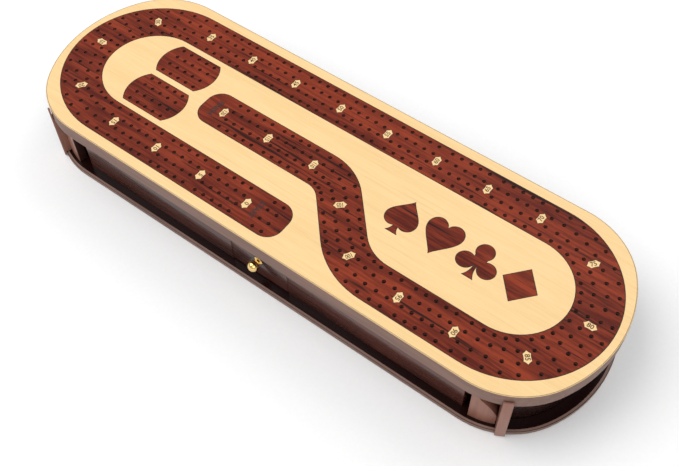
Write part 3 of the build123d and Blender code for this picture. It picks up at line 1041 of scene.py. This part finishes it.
@dataclass
class Screws:
    """Countersunk base screws with threads and four-armed recesses.

    The recess's floor, slope and mouth are shares of its arm, and the groove is a share of the
    pitch.
    """

    head_radius: float = 2.7 * MM
    head_bevel: float = 0.1 * MM
    shank_radius: float = 1.45 * MM
    sink: float = 0.15 * MM
    length: float = 16.0 * MM
    plain: float = 3.0 * MM
    thread: float = 0.22 * MM
    pitch: float = 1.2 * MM
    groove: float = 0.35
    recess: float = 0.55 * MM
    recess_wall: float = 0.12 * MM
    recess_floor: float = 0.35
    recess_slope: float = 0.62
    recess_mouth: float = 0.75
    arm: float = 1.5 * MM
    pinch: float = 0.4
    arm_spread: float = math.radians(20.0)
    facets: int = 24

    def _one(self) -> bmesh.types.BMesh:
        """Turns and threads one screw.

        Returns:
            The screw, pointing up from z = 0.
        """
        floor = self.sink + self.recess
        outline = [(0.0, floor), (self.arm * self.recess_floor, floor),
                   (self.arm * self.recess_slope, self.sink + self.recess_wall),
                   (self.arm * self.recess_mouth, self.sink),
                   (self.head_radius - self.head_bevel, self.sink),
                   (self.head_radius, self.sink + self.head_bevel),
                   (self.shank_radius, self.sink + self.head_radius - self.shank_radius)]
        height = outline[-1][1] + self.plain
        outline.append((self.shank_radius, height))
        while height < self.length - self.plain:
            outline.append((self.shank_radius - self.thread, height + self.groove * self.pitch))
            outline.append((self.shank_radius, height + self.pitch))
            height += self.pitch
        outline.append((0.0, self.length))
        shape = lathe(outline, Matrix.Identity(4), self.facets)
        self._pinch_recess(shape)
        return shape

    def _pinch_recess(self, shape: bmesh.types.BMesh) -> None:
        """Draws the round recess in between its four arms.

        Args:
            shape: The turned screw, which is changed.
        """
        for corner in shape.verts:
            spot = corner.co
            if math.hypot(spot.x, spot.y) > self.arm or spot.z > 2 * self.recess + self.sink:
                continue
            turn = math.atan2(spot.y, spot.x) % QUARTER_TURN
            if min(turn, QUARTER_TURN - turn) > self.arm_spread:
                spot.x *= self.pinch
                spot.y *= self.pinch

    def _places(self) -> list[Vector]:
        """Finds the screws from the loose shells of the CAD node.

        Returns:
            Their centres, from left to right.
        """
        shape = bmesh.new()
        shape.from_mesh(frame["nodes"]["base_screws"].data)
        bmesh.ops.remove_doubles(shape, verts=shape.verts, dist=WELD)
        left = set(shape.verts)
        centres = []
        while left:
            pile = [left.pop()]
            shell = []
            while pile:
                corner = pile.pop()
                shell.append(corner)
                linked = {edge.other_vert(corner) for edge in corner.link_edges} & left
                left -= linked
                pile += linked
            xs = [corner.co.x for corner in shell]
            ys = [corner.co.y for corner in shell]
            centres.append(Vector(((min(xs) + max(xs)) / 2, (min(ys) + max(ys)) / 2, 0.0)))
        shape.free()
        return sorted(centres, key=lambda spot: (spot.x, spot.y))

    def build(self) -> None:
        """Builds all the base screws as one piece."""
        shape = scatter(self._one(), self._places())
        piece = mesh_object("threaded_base_screws", shape, smooth_angle=30.0)
        dress(piece, STEEL.build())
        settle(piece, "case", "steel", "base_screws")


# ------------------------------------------------------------------ boards with eased edges
@dataclass
class EasedBoards:
    """Wooden boards whose sawn edges are eased with sandpaper."""

    ease: float = 0.45 * MM
    curved_ease: float = 0.18 * MM
    sharp: float = math.radians(40.0)
    flat: float = math.radians(0.5)
    segments: int = 3
    curved: tuple[str, ...] = ("bracket", "grip_rib", "card_drawer_left_front",
                               "card_drawer_right_front", "card_drawer_left_bottom",
                               "card_drawer_right_bottom")

    def _eased(self, node: str) -> bmesh.types.BMesh:
        """Copies a board, merges its faces and rounds its sharp edges.

        Args:
            node: Name of the CAD node.

        Returns:
            The eased board.
        """
        shape = bmesh.new()
        shape.from_mesh(frame["nodes"][node].data)
        bmesh.ops.remove_doubles(shape, verts=shape.verts, dist=WELD)
        bmesh.ops.dissolve_limit(shape, angle_limit=self.flat, verts=shape.verts,
                                 edges=shape.edges)
        crisp = [edge for edge in shape.edges if len(edge.link_faces) == 2
                 and edge.calc_face_angle_signed(0.0) > self.sharp]
        ease = self.curved_ease if any(word in node for word in self.curved) else self.ease
        bmesh.ops.bevel(shape, geom=crisp, offset=ease, offset_type="OFFSET",
                        segments=self.segments, profile=0.5, affect="EDGES",
                        material=-1, clamp_overlap=True)
        return shape

    def build(self, node: str, body: str, slot: str, material: bpy.types.Material) -> None:
        """Replaces one CAD board by its eased copy.

        Args:
            node: Name of the CAD node.
            body: Body that it belongs to.
            slot: Its finish's slot.
            material: Its material.
        """
        piece = mesh_object(f"eased_{node}", self._eased(node), smooth_angle=30.0)
        dress(piece, material)
        settle(piece, body, slot, node)


@dataclass
class Woodwork:
    """Finishes of every wooden piece of the board."""

    boards: EasedBoards = field(default_factory=EasedBoards)
    cross_grain: tuple[str, ...] = ("divider", "partition", "_back", "card_drawer_left_front",
                                    "card_drawer_right_front", "peg_drawer_side",
                                    "peg_drawer_bottom")
    finishes: dict[str, Wood] = field(default_factory=lambda: {
        "maple": MAPLE, "bloodwood": BLOODWOOD, "stained_edge": DECK, "dark_wood": BODY,
        "light_wood": LIGHT, "drawer_wood": DRAWER})
    plain: tuple[str, ...] = ("maple", "bloodwood", "stained_edge")
    shadowed: tuple[str, ...] = ("card_drawer_left_front", "card_drawer_right_front")

    def _grain(self, node: str) -> Grain:
        """Finds how one board's grain runs.

        Args:
            node: Name of the CAD node.

        Returns:
            Direction of the grain.
        """
        if "bracket" in node or "grip_rib" in node:
            return Grain.UPRIGHT
        if any(word in node for word in self.cross_grain):
            return Grain.ALONG_Y
        return Grain.ALONG_X

    def build(self) -> None:
        """Dresses the inlaid surface and replaces the boards by eased copies."""
        made: dict[tuple[str, Grain], bpy.types.Material] = {}
        bodies = frame["record"]["behaviour"]["bodies"]
        slots = {part["node"]: part["material_slot"] for part in frame["record"]["subparts"]}
        for body, nodes in bodies.items():
            for node in nodes:
                slot = slots[node]
                if slot not in self.finishes:
                    continue
                # Painted shade: the card drawer fronts get the near-black copy of their wood.
                finish = SHADOWED if node in self.shadowed else self.finishes[slot]
                if "bracket" in node:
                    finish = BRACKET
                key = (finish.name, self._grain(node))
                if key not in made:
                    made[key] = finish.build(key[1])
                if slot in self.plain:
                    dress(frame["nodes"][node], made[key])
                    log.info("%s dressed in %s", node, slot)
                else:
                    self.boards.build(node, body, slot, made[key])


# ------------------------------------------------------------------ studio
@dataclass(frozen=True)
class Softbox:
    """A square area light aimed at the board."""

    name: str
    place: tuple[float, float, float]
    size: float
    power: float

    def build(self) -> None:
        """Hangs the light."""
        light = bpy.data.lights.new(self.name, "AREA")
        light.size = self.size
        light.energy = self.power
        lamp = bpy.data.objects.new(self.name, light)
        lamp.location = self.place
        lamp.rotation_euler = (-Vector(self.place)).to_track_quat("-Z", "Y").to_euler()
        bpy.context.scene.collection.objects.link(lamp)


@dataclass
class Studio:
    """Plain pale floor, soft lights and the camera."""

    azimuth: float = math.radians(37.99)
    elevation: float = math.radians(55.03)
    roll: float = math.radians(-1.35)
    distance: float = 0.5314
    target: tuple[float, float] = (0.0376, -0.0300)
    lens: float = 50.64
    sensor: float = 36.0
    nearest: float = 0.01
    surroundings: float = 0.54
    floor_size: float = 6.0
    floor_gap: float = 0.3 * MM
    fibre_waves: tuple[float, float, float] = (400.0, 400.0, 400.0)
    paper: tuple[Colour, Colour] = ((0.90, 0.90, 0.90, 1), (0.94, 0.94, 0.94, 1))
    lights: tuple[Softbox, ...] = (
        Softbox("key", (-0.9, -0.5, 1.6), 1.6, 21.0),
        Softbox("fill", (1.2, -1.1, 1.3), 1.4, 9.5),
        Softbox("back", (0.2, 1.4, 1.2), 1.4, 8.5),
    )

    def build(self, top: float) -> None:
        """Sets up the floor, the lights and the camera.

        Args:
            top: Height of the board's top face.
        """
        self._floor()
        self._world()
        for light in self.lights:
            light.build()
        self._camera(top)

    def _floor(self) -> None:
        """A large white sheet a hair below the board, whose underside is at z = 0."""
        shape = bmesh.new()
        bmesh.ops.create_grid(shape, x_segments=2, y_segments=2, size=self.floor_size / 2)
        bmesh.ops.translate(shape, verts=shape.verts, vec=(0, 0, -self.floor_gap))
        floor = mesh_object("studio_floor", shape)
        shade = Shade("white_paper")
        paper = shade.mix(shade.noise(self.fibre_waves, 2.0), *self.paper)
        dress(floor, shade.surface(Base_Color=paper, Roughness=0.9))

    def _world(self) -> None:
        """Even white surroundings."""
        world = bpy.data.worlds.new("studio")
        world.use_nodes = True
        background = world.node_tree.nodes["Background"]
        background.inputs["Color"].default_value = (1.0, 1.0, 1.0, 1.0)
        background.inputs["Strength"].default_value = self.surroundings
        bpy.context.scene.world = world

    def _camera(self, top: float) -> None:
        """Sets the camera, looking down at the board from its right front.

        Args:
            top: Height of the board's top face.
        """
        back = Vector((math.sin(self.azimuth) * math.cos(self.elevation),
                       -math.cos(self.azimuth) * math.cos(self.elevation),
                       math.sin(self.elevation)))
        lens = bpy.data.cameras.new("camera")
        lens.lens = self.lens
        lens.sensor_width = self.sensor
        lens.clip_start = self.nearest
        camera = bpy.data.objects.new("camera", lens)
        camera.location = Vector((*self.target, top)) + back * self.distance
        level = (-back).to_track_quat("-Z", "Y").to_matrix().to_4x4()
        turned = level @ Matrix.Rotation(self.roll, 4, "Z")
        camera.rotation_euler = turned.to_euler()
        bpy.context.scene.collection.objects.link(camera)
        bpy.context.scene.camera = camera


def main() -> None:
    """Builds the finishes, lettering and hardware, and reports each piece."""
    logging.basicConfig(level=logging.INFO, format="%(name)s: %(message)s")
    bpy.context.scene.view_settings.view_transform = "Standard"
    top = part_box("maple_top_sheet")[1].z
    track = Track()
    Studio().build(top)
    Woodwork().build()
    Lettering(track, top).build()
    HoleRims(track, top).build()
    edge_lines(top)
    BrassKnob().build()
    Screws().build()
    dress(frame["nodes"]["peg_drawer_knob_screw"], STEEL.build())


if __name__ == "__main__":
    main()
